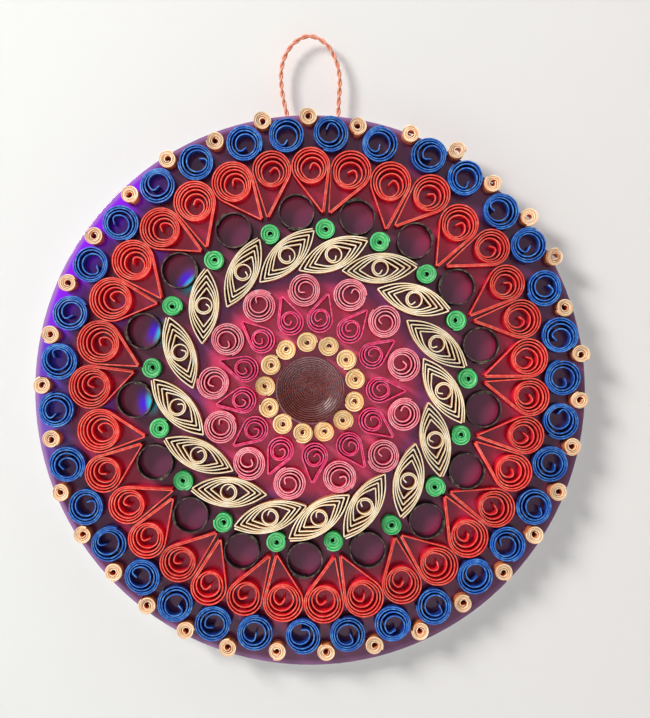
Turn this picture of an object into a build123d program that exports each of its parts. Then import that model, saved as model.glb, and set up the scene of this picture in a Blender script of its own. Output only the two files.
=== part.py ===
"""Quilled paper wall mandala on a moulded plastic disc, with a twisted cord loop to hang it by.

The disc stands upright in the XZ plane, its back face in the plane y = 0 and its front towards -Y.
Every paper piece is one strip wound on edge: rings of coils, teardrops and marquises are glued to
the front, and each ring is laid out against the ring inside it, from the hub to the edge.
"""

import os
from collections import namedtuple
from math import asin, atan2, cos, degrees, dist, hypot, radians, sin, sqrt, tan

from build123d import *

# The strip that every paper piece is wound from
strip_height = 3.0 * MM
strip_thickness = 0.25 * MM
winding_gap = 0.04 * MM
glue_gap = 0.12 * MM

# The disc and its hub
disc_thickness = 1.2 * MM
hub_hole_diameter = 15.0 * MM
edge_radius = 0.2 * MM
edge_margin = 0.1 * MM
groove_inner_diameter = 33.4 * MM
groove_width = 0.8 * MM
groove_depth = 0.2 * MM

# How far the pattern was glued off the disc's middle: rightwards and upwards
shift_right = 0.35 * MM
shift_up = 1.1 * MM
hub_shift_share = 0.5
rim_shift_share = 0.6

# The dished coil over the hub
dish_diameter = 14.7 * MM
dish_depth = 1.1 * MM
hub_clearance = 0.12 * MM
dish_eye_radius = 1.3 * MM
dish_lean_share = 0.8
dish_winding_gap = 0.06 * MM

# Coils and teardrops, ring by ring from the middle outwards
gold_diameter = 4.55 * MM
magenta_width = 5.7 * MM
magenta_length = 9.1 * MM
pink_diameter = 7.4 * MM
marquise_length = 16.6 * MM
marquise_width = 6.5 * MM
green_diameter = 4.5 * MM
black_diameter = 8.1 * MM
red_length = 14.9 * MM
blue_diameter = 8.0 * MM
rim_diameter = 4.0 * MM

# Gaps between one ring and the next
gold_gap = 0.15 * MM
magenta_gap = 0.48 * MM
pink_gap = 0.3 * MM
marquise_gap = 0.08 * MM
green_gap = 0.15 * MM
black_gap = 0.1 * MM
red_gap = 0.1 * MM
blue_gap = 0.1 * MM
rim_gap = 0.1 * MM
tips_apart = 1.1 * MM

# Windings inside the pieces
tight_eye_radius = 0.5 * MM
rim_eye_radius = 0.6 * MM
blue_eye_radius = 1.9 * MM
pink_eye_radius = 1.5 * MM
marquise_eye_radius = 1.45 * MM
magenta_eye_radius = 1.1 * MM
red_eye_radius = 1.6 * MM

# The hanging loop
cord_diameter = 1.0 * MM
cord_clearance = 0.05 * MM

# How many pieces stand in each ring, and how many rounds stand for half a long piece
inner_count = 13
outer_count = 17
round_count = 12
black_flats = 8
dish_flats_per_turn = 6

# The spacing of the rings, as shares of one even step, read off the photograph by eye
gold_turn_share = [-.16, -.15, -.15, -.15, -.14, -.13, -.13, -.14, -.15, -.16, -.17, -.17, -.17]
magenta_turn_share = [.26, .26, .31, .39, .35, .34, .4, .42, .38, .31, .25, .28, .34]
magenta_lean_share = [.11, .05, -.1, -.04, .06, -.04, .08, 0, 0, .02, .04, 0, -.02]
marquise_turn_share = [
    .46, .44, .37, .39, .37, .38, .36, .38, .35, .33, .29, .26, .32, .42, .48, .53, .5,
]
pair_turn_share = [
    .06, .08, .07, .02, -.01, -.03, .01, -.03, .01, -.05, -.07, -.1, -.04, -.02, -.02, -.01, -.01,
]
blue_turn_share = [
    .03, -.06, -.02, -.02, 0, .09, .02, .01, .02, .01, .03, -.01, .07, .04, .02, -.01, 0,
    .02, .02, -.03, -.01, -.02, 0, .08, 0, -.07, -.04, -.02, .05, -.05, 0, -.03, -.06, .01,
]

# How much of its room each kind of piece winds full, and how it keeps the loose rest
tight_fill_share = 1
rim_fill_share = .9
blue_fill_share = .55
pink_fill_share = .6
magenta_fill_share = .62
red_fill_share = .5
marquise_slant_share = .377
marquise_side_share = .82
marquise_slow_share = 1.5
marquise_quick_share = .8
loose_share = 2.2
dish_fill_share = .8
dish_lean_turn_share = .85
hook_curl_share = .42
hook_end_share = .1
crescent_share = .8
rim_out_share = .6
spin_share = [0, .37, .71, .18, .55, .88, .29, .64, .08, .46, .8, .13, .5, .93, .33, .68, .22]
lean_share = [.75, .5, .9, .6, .35, .8, .55, .95, .45, .7, .6, .85, .4]
oval_share = [.012, .022, .006, .018, .026, .01, .02, .014, .008, .024, .016]

# The route of the cord seen from the front: across from the middle, up from the disc's edge
cord_route = [
    (-4.2 * MM, -8.5 * MM),
    (-4.3 * MM, -4.6 * MM),
    (-4.8 * MM, -0.6 * MM),
    (-5.9 * MM, 3.6 * MM),
    (-6.6 * MM, 8.2 * MM),
    (-6.1 * MM, 12.6 * MM),
    (-3.9 * MM, 16.4 * MM),
    (-0.3 * MM, 18.3 * MM),
    (3.5 * MM, 16.6 * MM),
    (5.8 * MM, 12.8 * MM),
    (6.7 * MM, 8.3 * MM),
    (6.3 * MM, 3.6 * MM),
    (6.2 * MM, -0.8 * MM),
    (5.8 * MM, -4.8 * MM),
    (5.7 * MM, -8.6 * MM),
]

# One winding takes the strip's thickness and the gap to the next
winding_step = strip_thickness + winding_gap
least_edge = strip_thickness / 1000

slide_step = strip_thickness / 10

Flat = namedtuple("Flat", "facing reach pinched spread top", defaults=(0,))
Strip = namedtuple("Strip", "flats start finish centre turn")
Round = namedtuple("Round", "centre radius")


def bearing(angle, radius, middle=(0, 0)):
    """A point at a clock bearing in degrees, clockwise from the top, and a distance."""
    return (
        middle[0] + radius * sin(radians(angle)),
        middle[1] + radius * cos(radians(angle)),
    )


def facing_line(angle):
    """The outward normal of a flat at an angle in degrees, and the way along it."""
    a = radians(angle)
    return (cos(a), sin(a)), (-sin(a), cos(a))


def meeting(first, second, inset):
    """The corner where two flats of a strip meet, on its outer wall or inset from it."""
    a, b = radians(first.facing), radians(second.facing)
    near, far = first.reach - inset, second.reach - inset
    spread = sin(b - a)
    return (
        (near * sin(b) - far * sin(a)) / spread,
        (far * cos(a) - near * cos(b)) / spread,
    )


def on_flat(flat, along, inset):
    """A point on a flat's outer wall, or inset from it, counted from the foot of its normal."""
    normal, ahead = facing_line(flat.facing)
    reach = flat.reach - inset
    return (reach * normal[0] + along * ahead[0], reach * normal[1] + along * ahead[1])


def bend_radii(flats, runs):
    """The bend radius at each corner: a crease, round to its top, or as its runs allow."""
    turns = [radians(b.facing - a.facing) for a, b in zip(flats, flats[1:])]
    fixed = []
    for flat, following, turn in zip(flats, flats[1:], turns):
        corner = (flat.reach + following.reach) / (2 * cos(turn / 2))
        round_to_top = (corner - flat.top) / (1 / cos(turn / 2) - 1) if flat.top else 0
        fixed.append(strip_thickness if flat.pinched else round_to_top)

    def room(run, bend, neighbour):
        """What a bend may take of a run, by what stands at the run's other end."""
        if neighbour not in range(len(turns)):
            return run
        own, other = tan(turns[bend] / 2), tan(turns[neighbour] / 2)
        if fixed[neighbour]:
            return run - fixed[neighbour] * other
        return run * own / (own + other)

    return [
        fixed[i] or min(room(runs[i], i, i - 1), room(runs[i + 1], i, i + 1)) / tan(turn / 2)
        for i, turn in enumerate(turns)
    ]


def wall_points(strip, inset):
    """The ends and corners of one wall of a strip, where the piece stands."""
    local = [
        on_flat(strip.flats[0], strip.start, inset),
        *[meeting(a, b, inset) for a, b in zip(strip.flats, strip.flats[1:])],
        on_flat(strip.flats[-1], strip.finish, inset),
    ]
    across, up = facing_line(strip.turn)
    return [
        Vector(
            strip.centre[0] + x * across[0] + y * up[0],
            strip.centre[1] + x * across[1] + y * up[1],
        )
        for x, y in local
    ]


def wall_bends(points, radii):
    """Where each bend of a wall starts, its middle and where it ends."""
    bends = []
    for before, corner, after, radius in zip(points, points[1:], points[2:], radii):
        back = (before - corner).normalized()
        ahead = (after - corner).normalized()
        half = radians(back.get_angle(ahead)) / 2
        setback = radius / tan(half)
        middle = corner + (back + ahead).normalized() * (radius / sin(half) - radius)
        bends.append((corner + back * setback, middle, corner + ahead * setback))
    return bends


def strip_bends(strip):
    """The bends of a strip's outer and inner walls, and the ends of both walls."""
    outer, inner = wall_points(strip, 0), wall_points(strip, strip_thickness)
    radii = bend_radii(strip.flats, [(q - p).length for p, q in zip(outer, outer[1:])])
    inside = [radius - strip_thickness for radius in radii]
    return (
        (outer[0], wall_bends(outer, radii), outer[-1]),
        (inner[0], wall_bends(inner, inside), inner[-1]),
    )


def wall_edges(first, bends, last):
    """One wall of a strip as straight runs and tangent arcs, and the point where it ends."""
    edges, at = [], first
    for start, middle, finish in bends:
        if (start - at).length > least_edge:
            edges.append(Edge.make_line(at, start))
            at = start
        if (finish - at).length > least_edge:
            edges.append(Edge.make_three_point_arc(at, middle, finish))
            at = finish
    if (last - at).length > least_edge:
        edges.append(Edge.make_line(at, last))
        at = last
    return edges, at


def strip_edges(strip):
    """The edges of a wound strip's plan: along its outer wall and back along its inner one."""
    outer, inner = strip_bends(strip)
    outer_edges, outer_end = wall_edges(*outer)
    inner_edges, inner_end = wall_edges(*inner)
    ends = [Edge.make_line(outer_end, inner_end), Edge.make_line(inner[0], outer[0])]
    return [*outer_edges, ends[0], *reversed(inner_edges), ends[1]]


def apart(one, other):
    """The gap between two pieces, each given as the rounds that fill its outline."""
    return min(dist(p.centre, q.centre) - p.radius - q.radius for p in one for q in other)


def row_of_rounds(centre, angle, places):
    """Rounds in a row across a centre: places are distances along the angle, and radii."""
    (c, s), _ = facing_line(angle)
    return [Round((centre[0] + along * c, centre[1] + along * s), r) for along, r in places]


def slide_out(start, gap_at, least):
    """The first distance from the middle, from start, where a gap is wide enough."""
    radius = start
    while gap_at(radius) < least:
        radius += max(least - gap_at(radius), slide_step)
    return radius


def nearest(piece, others):
    """The gap between a piece and the nearest of the others."""
    return min(apart(piece, other) for other in others)


def slide_coil(start, angle, middle, diameter, others, least):
    """A coil slid out along a clock bearing until it is clear of others."""

    def place(radius):
        return [Round(bearing(angle, radius, middle), diameter / 2)]

    return place(slide_out(start, lambda r: nearest(place(r), others), least))[0]


def as_pieces(rounds):
    """Coils as pieces of one round each."""
    return [[place] for place in rounds]


def spaced(count, shares):
    """Clock bearings round a ring: even steps, each shifted by its share of one step."""
    return [(i + shares[i % len(shares)]) * 360 / count for i in range(count)]


def midway(angle, following):
    """The clock bearing midway from one bearing on to the next."""
    return angle + (following - angle) % 360 / 2


def tightest_radius(width, bearings):
    """The least ring radius at which pieces of one width stand side by side."""
    steps = [(b - a) % 360 for a, b in zip(bearings, bearings[1:] + bearings[:1])]
    return width / (2 * sin(radians(min(steps)) / 2))


def leaning_round(facings, radius, lean=0, towards=0):
    """One turn of flats round a circle whose middle leans off by a distance."""
    flats = []
    for facing, following in zip(facings, [*facings[1:], facings[0] + 360]):
        off = radians(facing - towards)
        top_off = radians((facing + following) / 2 - towards)
        reach, top = radius + lean * cos(off), radius + lean * cos(top_off)
        flats.append(Flat(facing, reach, False, loose_share, top))
    return flats


def wind(outer, inner, steps, pinched_turns=0, step=winding_step):
    """Flats from an outer turn towards an inner one, each turn clear inside the last."""
    per_turn = len(outer)
    flats = []
    for j in range(steps):
        wide, tight = outer[j % per_turn], inner[j % per_turn]
        pinching = j < pinched_turns * per_turn
        done = j - j % per_turn if pinching else j
        taken = done * step / per_turn
        free = wide.reach - tight.reach - steps * step / per_turn
        reach = wide.reach - taken - free * (done / steps) ** wide.spread
        facing = wide.facing + 360 * (j // per_turn)
        top = 0
        if wide.top and pinching:
            free = wide.top - tight.top - steps * step / per_turn
            top = wide.top - taken - free * done / steps
        flats.append(Flat(facing, reach, wide.pinched and pinching, wide.spread, top))
    return flats


def fold_start(flats, per_turn):
    """Where a pinched strip starts on its first flat: over the fold of its first turn."""
    last, following = flats[per_turn - 1], flats[per_turn]
    fold = meeting(last, following, 0)
    _, ahead = facing_line(following.facing)
    crease = strip_thickness * tan(radians(following.facing - last.facing) / 2)
    return fold[0] * ahead[0] + fold[1] * ahead[1] + crease


def hooked(flats, lean=0, towards=0):
    """The flats with a last one curled into the eye, and where the strip ends on it."""
    *rest, last = flats
    eye = last.reach - lean * cos(radians(last.facing - towards))
    curl = hook_curl_share * eye
    facing, corner = last.facing + 90, last.facing + 45
    off = radians(facing - towards)
    top = curl + (eye - curl) * cos(radians(45)) + lean * cos(radians(corner - towards))
    hook = Flat(facing, curl + lean * cos(off), False, 0)
    return [*rest, last._replace(top=top), hook], -hook_end_share * eye - lean * sin(off)


def coil(i, place, eye_radius, fill_share, per_turn, hook=True):
    """A round coil: tight outside, with what room is left in its inner windings."""
    spin = 360 * spin_share[i % len(spin_share)]
    flattening = place.radius * oval_share[i % len(oval_share)]
    facings = [spin + 360 * k / per_turn for k in range(per_turn)]
    outer = [
        Flat(f, place.radius - flattening * (1 - cos(radians(2 * f - spin))), False, loose_share)
        for f in facings
    ]
    room = place.radius - 2 * flattening - eye_radius
    steps = int(per_turn * fill_share * room / winding_step)
    lean = lean_share[i % len(lean_share)] * (room - steps * winding_step / per_turn)
    towards = 2 * spin
    inner = leaning_round(facings, eye_radius, lean, towards)
    flats = wind(outer, inner, steps)
    if not hook:
        return Strip(flats, 0, 0, place.centre, 0)
    flats, finish = hooked(flats, lean, towards)
    return Strip(flats, 0, finish, place.centre, 0)


def teardrop(width, length, eye_radius, fill_share, centre, turn):
    """A teardrop: round end about its middle, tip towards -Y before it is turned."""
    round_radius = width / 2
    apex = round_radius * (length - round_radius - strip_thickness)
    apex /= round_radius - strip_thickness
    slope = degrees(asin(round_radius / apex))
    facings = [-slope + k * (180 + 2 * slope) / 3 for k in range(4)]
    outer = [Flat(f, round_radius, f == facings[-1], loose_share) for f in facings]
    room = round_radius - eye_radius
    turns = int(fill_share * room / winding_step)
    steps = len(facings) * turns + len(facings) // 2
    room -= steps * winding_step / len(facings)
    lean = crescent_share * room
    flats = wind(outer, leaning_round(facings, eye_radius, lean, 270), steps, 1)
    flats, finish = hooked(flats, lean, 270)
    return Strip(flats, fold_start(flats, len(facings)), finish, centre, turn)


def marquise_side():
    """The slope of a marquise's sides at its tips, less than a plain lens of its size has."""
    return degrees(2 * atan2(marquise_width, marquise_length)) * marquise_side_share


def marquise(centre, turn):
    """A marquise: two pinched tips along X before it is turned, round windings inside."""
    side = marquise_side()
    slope = radians(side)
    half_width = marquise_width / 2
    apex = marquise_length / 2 + strip_thickness / sin(slope) - strip_thickness
    outer = [
        Flat(90 - side, apex * sin(slope), False, marquise_slow_share, half_width),
        Flat(90 + side, apex * sin(slope), True, marquise_quick_share),
        Flat(270 - side, apex * sin(slope), False, marquise_slow_share, half_width),
        Flat(270 + side, apex * sin(slope), True, marquise_quick_share),
    ]
    facings = [flat.facing for flat in outer]
    eye_turns = 2
    core = marquise_eye_radius + eye_turns * winding_step
    pinched_turns = int((half_width - core) / winding_step)
    flats = wind(outer, leaning_round(facings, core), pinched_turns * len(outer), pinched_turns)
    eye_flats = 6
    first = facings[0] + 360 * pinched_turns
    turned = [first + 360 * k / eye_flats for k in range(eye_flats)]
    flats += wind(
        leaning_round(turned, core),
        leaning_round(turned, marquise_eye_radius),
        (eye_turns * eye_flats) - 2,
    )
    flats, finish = hooked(flats)
    return Strip(flats, fold_start(flats, len(outer)), finish, centre, turn)


def teardrop_rounds(width, length, centre, turn):
    """The rounds that fill a teardrop, from its round end to its tip."""
    reach = length - width / 2 - strip_thickness
    fall = strip_thickness - width / 2
    shares = [k / round_count for k in range(round_count + 1)]
    places = [(reach * share, width / 2 + fall * share) for share in shares]
    return row_of_rounds(centre, turn - 90, places)


def marquise_rounds(centre, turn):
    """The rounds that fill a marquise, from tip to tip."""
    slope = radians(marquise_side())
    half_width = marquise_width / 2
    apex = marquise_length / 2 + strip_thickness / sin(slope) - strip_thickness
    bend = (apex * tan(slope) - half_width) / (1 / cos(slope) - 1)
    places = []
    for k in range(-round_count, round_count + 1):
        along = (marquise_length / 2 - strip_thickness) * k / round_count
        curved = bend - hypot(along, bend - half_width)
        places.append((along, min(curved, (apex - abs(along)) * sin(slope))))
    return row_of_rounds(centre, turn, places)


# The middles of the rings, from the hub outwards
pattern_middle = (shift_right, shift_up)
hub_middle = (shift_right * hub_shift_share, shift_up * hub_shift_share)
rim_middle = (shift_right * rim_shift_share, shift_up * rim_shift_share)
dish_radius = dish_diameter / 2

# The gold ring round the hub
gold_bearings = spaced(inner_count, gold_turn_share)
gold_ring = max(
    dish_radius + gold_gap + gold_diameter / 2,
    tightest_radius(gold_diameter + glue_gap, gold_bearings),
)
golds = [Round(bearing(a, gold_ring, hub_middle), gold_diameter / 2) for a in gold_bearings]

# The magenta teardrops, tips outwards, behind the gold ring
magenta_bearings = spaced(inner_count, magenta_turn_share)
magenta_ring = tightest_radius(magenta_width + glue_gap, magenta_bearings)
magentas = [
    slide_coil(magenta_ring, a, pattern_middle, magenta_width, as_pieces(golds), magenta_gap)
    for a in magenta_bearings
]
magenta_turns = [
    180 - angle - 90 * magenta_lean_share[i % len(magenta_lean_share)]
    for i, angle in enumerate(magenta_bearings)
]
magenta_pieces = [
    teardrop_rounds(magenta_width, magenta_length, body.centre, turn)
    for body, turn in zip(magentas, magenta_turns)
]

# The pink coils between the magenta tips
tip_bearings = []
for piece in magenta_pieces:
    across, up = piece[-1].centre
    tip_bearings.append(degrees(atan2(across - hub_middle[0], up - hub_middle[1])))
pink_bearings = [midway(a, b) for a, b in zip(tip_bearings, tip_bearings[1:] + tip_bearings[:1])]
pink_start = tightest_radius(pink_diameter + glue_gap, pink_bearings)
pinks = [
    slide_coil(pink_start, a, hub_middle, pink_diameter, magenta_pieces, pink_gap)
    for a in pink_bearings
]

# The marquises, slanting round the pinks
marquise_bearings = spaced(outer_count, marquise_turn_share)
marquise_slant = 90 * marquise_slant_share
pink_ring = sum(dist(pink.centre, pattern_middle) for pink in pinks) / len(pinks)


def marquise_piece(angle, radius):
    """The rounds of the marquise at a clock bearing and a distance from the middle."""
    return marquise_rounds(bearing(angle, radius, pattern_middle), marquise_slant - angle)


marquise_steps = [
    (b - a) % 360
    for a, b in zip(marquise_bearings, marquise_bearings[1:] + marquise_bearings[:1])
]
marquise_start = slide_out(
    pink_ring,
    lambda r: apart(marquise_piece(0, r), marquise_piece(min(marquise_steps), r)),
    marquise_gap,
)
marquise_radii = [
    slide_out(
        marquise_start, lambda r: nearest(marquise_piece(angle, r), as_pieces(pinks)), marquise_gap
    )
    for angle in marquise_bearings
]
marquise_pieces = [marquise_piece(*place) for place in zip(marquise_bearings, marquise_radii)]

# The tight green coils, each beside the outer tip of a marquise
greens, green_bearings = [], []
for angle, radius in zip(marquise_bearings, marquise_radii):
    centre = bearing(angle, radius)
    along = radians(marquise_slant - angle)
    tip = (
        centre[0] + marquise_length / 2 * cos(along),
        centre[1] + marquise_length / 2 * sin(along),
    )
    beside = asin((green_diameter / 2 + green_gap) / hypot(*tip))
    green_bearings.append(degrees(atan2(*tip) + beside))
    greens.append(
        slide_coil(
            hypot(*tip), green_bearings[-1], pattern_middle, green_diameter,
            marquise_pieces, green_gap,
        )
    )

# The black rings between the greens
green_ring = sum(dist(green.centre, pattern_middle) for green in greens) / len(greens)
blacks = [
    slide_coil(
        green_ring, midway(angle, following), pattern_middle, black_diameter,
        marquise_pieces + as_pieces(greens), black_gap,
    )
    for angle, following in zip(green_bearings, green_bearings[1:] + green_bearings[:1])
]

# The red teardrops fill the ring in pairs: tips together over a green, a black ring between pairs
pair_bearings = [
    angle + pair_turn_share[i % len(pair_turn_share)] * 360 / outer_count
    for i, angle in enumerate(green_bearings)
]
edge_bearings = []
for angle, following in zip(pair_bearings, pair_bearings[1:] + pair_bearings[:1]):
    edge_bearings += [angle, midway(angle, following)]
red_halves = [
    radians((b - a) % 360) / 2 for a, b in zip(edge_bearings, edge_bearings[1:] + edge_bearings[:1])
]
red_reach = green_ring + green_diameter / 2 + red_length


def red_place(i, radius):
    """Width, middle and turn of red teardrop i: its wedge full, its tip by the pair's edge."""
    near, far = edge_bearings[i], edge_bearings[(i + 1) % len(edge_bearings)]
    tip_bearing, sideways = (near, tips_apart / 2) if i % 2 == 0 else (far, -tips_apart / 2)
    width = 2 * red_reach * sin(red_halves[i]) / (1 + sin(red_halves[i])) - red_gap
    centre = bearing(midway(near, far), radius, pattern_middle)
    (c, s), _ = facing_line(90 - tip_bearing)
    x, y = centre[0] - pattern_middle[0], centre[1] - pattern_middle[1]
    off = x * s - y * c - sideways
    along = sqrt((red_length - width / 2) ** 2 - off**2)
    turn = degrees(atan2(-along * s + off * c, -along * c - off * s)) + 90
    return width, centre, turn


def red_piece(i, radius):
    """The rounds of red teardrop i with its round end at a distance from the middle."""
    width, centre, turn = red_place(i, radius)
    return teardrop_rounds(width, red_length, centre, turn)


red_radii = [
    slide_out(
        red_reach / (1 + sin(half)),
        lambda r: nearest(red_piece(i, r), as_pieces(greens + blacks)),
        red_gap,
    )
    for i, half in enumerate(red_halves)
]
red_pieces = [red_piece(i, radius) for i, radius in enumerate(red_radii)]

# The blue coils behind the notches between the red round ends
blue_bearings = [
    angle + blue_turn_share[i % len(blue_turn_share)] * 180 / outer_count
    for i, angle in enumerate(edge_bearings)
]
red_ring = sum(red_radii) / len(red_radii)
blue_start = max(red_ring, tightest_radius(blue_diameter + blue_gap, blue_bearings))
blues = [
    slide_coil(blue_start, a, pattern_middle, blue_diameter, red_pieces, blue_gap)
    for a in blue_bearings
]

# The rim coils behind the notches between the blues
blue_ring = sum(dist(blue.centre, rim_middle) for blue in blues) / len(blues)
rim_bearings = []
for first, second in zip(blues, blues[1:] + blues[:1]):
    across = (first.centre[0] + second.centre[0]) / 2 - rim_middle[0]
    up = (first.centre[1] + second.centre[1]) / 2 - rim_middle[1]
    rim_bearings.append(degrees(atan2(across, up)))
rim_start = blue_ring + blue_diameter / 2 * rim_out_share
rims = [
    slide_coil(rim_start, a, rim_middle, rim_diameter, as_pieces(blues), rim_gap)
    for a in rim_bearings
]
rim_ring = sum(dist(rim.centre, rim_middle) for rim in rims) / len(rims)
disc_radius = rim_ring + rim_diameter / 2 + edge_margin

# The disc, with a moulded groove round the flat of its hub at the back
with BuildPart() as backing_disc:
    with BuildSketch(Plane.XZ):
        Circle(disc_radius)
        Circle(hub_hole_diameter / 2, mode=Mode.SUBTRACT)
    extrude(amount=disc_thickness)
    round_edges = backing_disc.edges().filter_by(GeomType.CIRCLE).sort_by(SortBy.RADIUS)
    fillet(round_edges[-2:], edge_radius)
    with BuildSketch(Plane.XZ):
        Circle(groove_inner_diameter / 2 + groove_width)
        Circle(groove_inner_diameter / 2, mode=Mode.SUBTRACT)
    extrude(amount=groove_depth, mode=Mode.SUBTRACT)
backing_disc.part.label = "backing_disc"

# The coil over the hub: its outer turns on the disc, the rest pushed into a dish in the hole
seat_radius = hub_hole_diameter / 2 - hypot(*hub_middle) - hub_clearance
dish_towards = 360 * dish_lean_turn_share
dish_step = strip_thickness + dish_winding_gap
dish_facings = [360 * k / dish_flats_per_turn for k in range(dish_flats_per_turn)]
dish_room = dish_radius - dish_eye_radius
dish_steps = int(dish_flats_per_turn * dish_fill_share * dish_room / dish_step)
dish_lean = dish_lean_share * (dish_room - dish_steps * dish_step / dish_flats_per_turn)
dish_flats = wind(
    leaning_round(dish_facings, dish_radius),
    leaning_round(dish_facings, dish_eye_radius, dish_lean, dish_towards),
    dish_steps,
    step=dish_step,
)
with BuildPart() as centre_coil:
    with BuildSketch(Plane.XZ):
        make_face(strip_edges(Strip(dish_flats, 0, 0, hub_middle, 0)))
    extrude(amount=disc_thickness + strip_height)
    with BuildSketch(Plane((hub_middle[0], -disc_thickness, hub_middle[1]))):
        Polygon(
            (0, dish_depth),
            (0, dish_depth - strip_height),
            (seat_radius, -strip_height),
            (dish_diameter, -strip_height),
            (dish_diameter, 0),
            (seat_radius, 0),
            align=None,
        )
    revolve(axis=Axis((hub_middle[0], 0, hub_middle[1]), (0, 1, 0)), mode=Mode.INTERSECT)
centre_coil.part.label = "centre_coil"

# The cord: both ends glued behind the top of the disc, a loop standing up from it
with BuildPart() as hanging_cord:
    lie = cord_clearance + cord_diameter / 2
    with BuildLine() as route:
        Spline([(across, lie, disc_radius + up) for across, up in cord_route])
    with BuildSketch(Plane(route.line @ 0, z_dir=route.line % 0)):
        Circle(cord_diameter / 2)
    sweep()
hanging_cord.part.label = "hanging_cord"


def coils(places, eye_radius, fill_share, per_turn, hook=True):
    """The strips of a ring of coils."""
    return [
        coil(i, place, eye_radius, fill_share, per_turn, hook) for i, place in enumerate(places)
    ]


def groups(name, strips, count):
    """A ring shared out between a number of nodes, in order round the ring."""
    ends = [round(k * len(strips) / count) for k in range(count + 1)]
    return {f"{name}_{k + 1:02d}": strips[ends[k]:ends[k + 1]] for k in range(count)}


# The strips of every ring, and the nodes that they are kept in
magenta_strips = [
    teardrop(
        magenta_width, magenta_length, magenta_eye_radius, magenta_fill_share, body.centre, turn
    )
    for body, turn in zip(magentas, magenta_turns)
]
marquise_strips = [
    marquise(bearing(angle, radius, pattern_middle), marquise_slant - angle)
    for angle, radius in zip(marquise_bearings, marquise_radii)
]
red_strips = []
for i, radius in enumerate(red_radii):
    width, centre, turn = red_place(i, radius)
    red_strips.append(
        teardrop(width, red_length, red_eye_radius, red_fill_share, centre, turn)
    )
black_facings = [360 * k / black_flats for k in range(black_flats)]
black_strips = [
    Strip(
        [
            Flat(f, black_diameter / 2 - winding_step * k / black_flats, False, 0)
            for k, f in enumerate(black_facings + [360, 360 + black_facings[1]])
        ],
        0, 0, place.centre, 360 * spin_share[i % len(spin_share)],
    )
    for i, place in enumerate(blacks)
]
nodes = {
    **groups("gold_coils", coils(golds, tight_eye_radius, tight_fill_share, 4, False), 2),
    **groups("magenta_drops", magenta_strips, 2),
    **groups("pink_coils", coils(pinks, pink_eye_radius, pink_fill_share, 6), 2),
    **groups("marquise", marquise_strips, outer_count),
    **groups("green_coils", coils(greens, tight_eye_radius, tight_fill_share, 4, False), 2),
    "black_rings": black_strips,
    **groups("heart", red_strips, outer_count),
    **groups("blue_coils", coils(blues, blue_eye_radius, blue_fill_share, 6), 4),
    **groups("rim_coils", coils(rims, rim_eye_radius, rim_fill_share, 4, False), 4),
}

os.makedirs("parts", exist_ok=True)
for piece in (backing_disc, hanging_cord, centre_coil):
    export_step(piece.part, f"parts/{piece.part.label}.step")
for label, strips in nodes.items():
    with BuildPart() as paper_pieces:
        with BuildSketch(Plane.XZ.offset(disc_thickness)):
            for strip in strips:
                make_face(strip_edges(strip))
        extrude(amount=strip_height)
    paper_pieces.part.label = label
    export_step(paper_pieces.part, f"parts/{label}.step")
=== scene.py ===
from math import cos, pi, radians, sin

import bmesh
import bpy
from mathutils import Matrix, Vector


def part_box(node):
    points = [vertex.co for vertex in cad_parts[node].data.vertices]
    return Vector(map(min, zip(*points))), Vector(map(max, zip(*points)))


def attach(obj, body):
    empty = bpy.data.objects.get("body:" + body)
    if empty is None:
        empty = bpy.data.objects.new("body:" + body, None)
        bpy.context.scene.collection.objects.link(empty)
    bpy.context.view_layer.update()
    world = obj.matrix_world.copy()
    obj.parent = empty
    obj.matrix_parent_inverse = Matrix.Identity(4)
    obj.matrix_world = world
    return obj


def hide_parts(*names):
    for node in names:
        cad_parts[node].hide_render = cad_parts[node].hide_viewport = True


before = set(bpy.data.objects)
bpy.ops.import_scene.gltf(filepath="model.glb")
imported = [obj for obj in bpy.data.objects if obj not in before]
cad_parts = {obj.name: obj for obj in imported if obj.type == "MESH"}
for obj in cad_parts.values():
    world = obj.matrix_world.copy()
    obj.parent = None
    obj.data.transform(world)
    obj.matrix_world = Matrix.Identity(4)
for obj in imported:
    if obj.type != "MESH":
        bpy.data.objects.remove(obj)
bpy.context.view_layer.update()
disc_low, disc_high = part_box("backing_disc")


# Camera, wall and lamps. The hanging was photographed straight on from a hand's length away, a
# little above and to the right of its middle, on a pale wall that greys off to the right.
photo_size = (650, 718)
disc_middle_pixel = (310, 390)
pixel_size = 0.001 / 4.565
camera_distance = 0.1965

camera = bpy.data.objects.new("camera", bpy.data.cameras.new("camera"))
bpy.context.scene.collection.objects.link(camera)
camera.location = (
    (photo_size[0] / 2 - disc_middle_pixel[0]) * pixel_size,
    disc_low.y - camera_distance,
    (disc_middle_pixel[1] - photo_size[1] / 2) * pixel_size,
)
camera.rotation_euler = (pi / 2, 0, 0)
camera.data.sensor_fit = "HORIZONTAL"
camera.data.lens = camera.data.sensor_width * camera_distance / (photo_size[0] * pixel_size)
camera.data.clip_start = 0.005
bpy.context.scene.camera = camera
bpy.context.scene.view_settings.view_transform = "Standard"


def paint(red, green, blue):
    """A colour as a paint chart gives it, 0 to 255, turned into the light it sends back."""
    tones = [tone / 255 for tone in (red, green, blue)]
    lit = [t / 12.92 if t <= 0.04045 else ((t + 0.055) / 1.055) ** 2.4 for t in tones]
    return (*lit, 1)


def wire(tree, kind, wires=(), out=0, **settings):
    """Adds a node, links or sets its inputs by name or place, and gives one of its outputs."""
    made = tree.nodes.new(kind)
    for name, value in settings.items():
        setattr(made, name, value)
    for key, value in dict(wires).items():
        if isinstance(key, int):
            socket = made.inputs[key]
        else:
            socket = next(s for s in made.inputs if s.enabled and s.name == key)
        if isinstance(value, bpy.types.NodeSocket):
            tree.links.new(value, socket)
        else:
            socket.default_value = value
    if not made.outputs:
        return made
    if isinstance(out, int):
        return made.outputs[out]
    return next(s for s in made.outputs if s.enabled and s.name == out)


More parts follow.
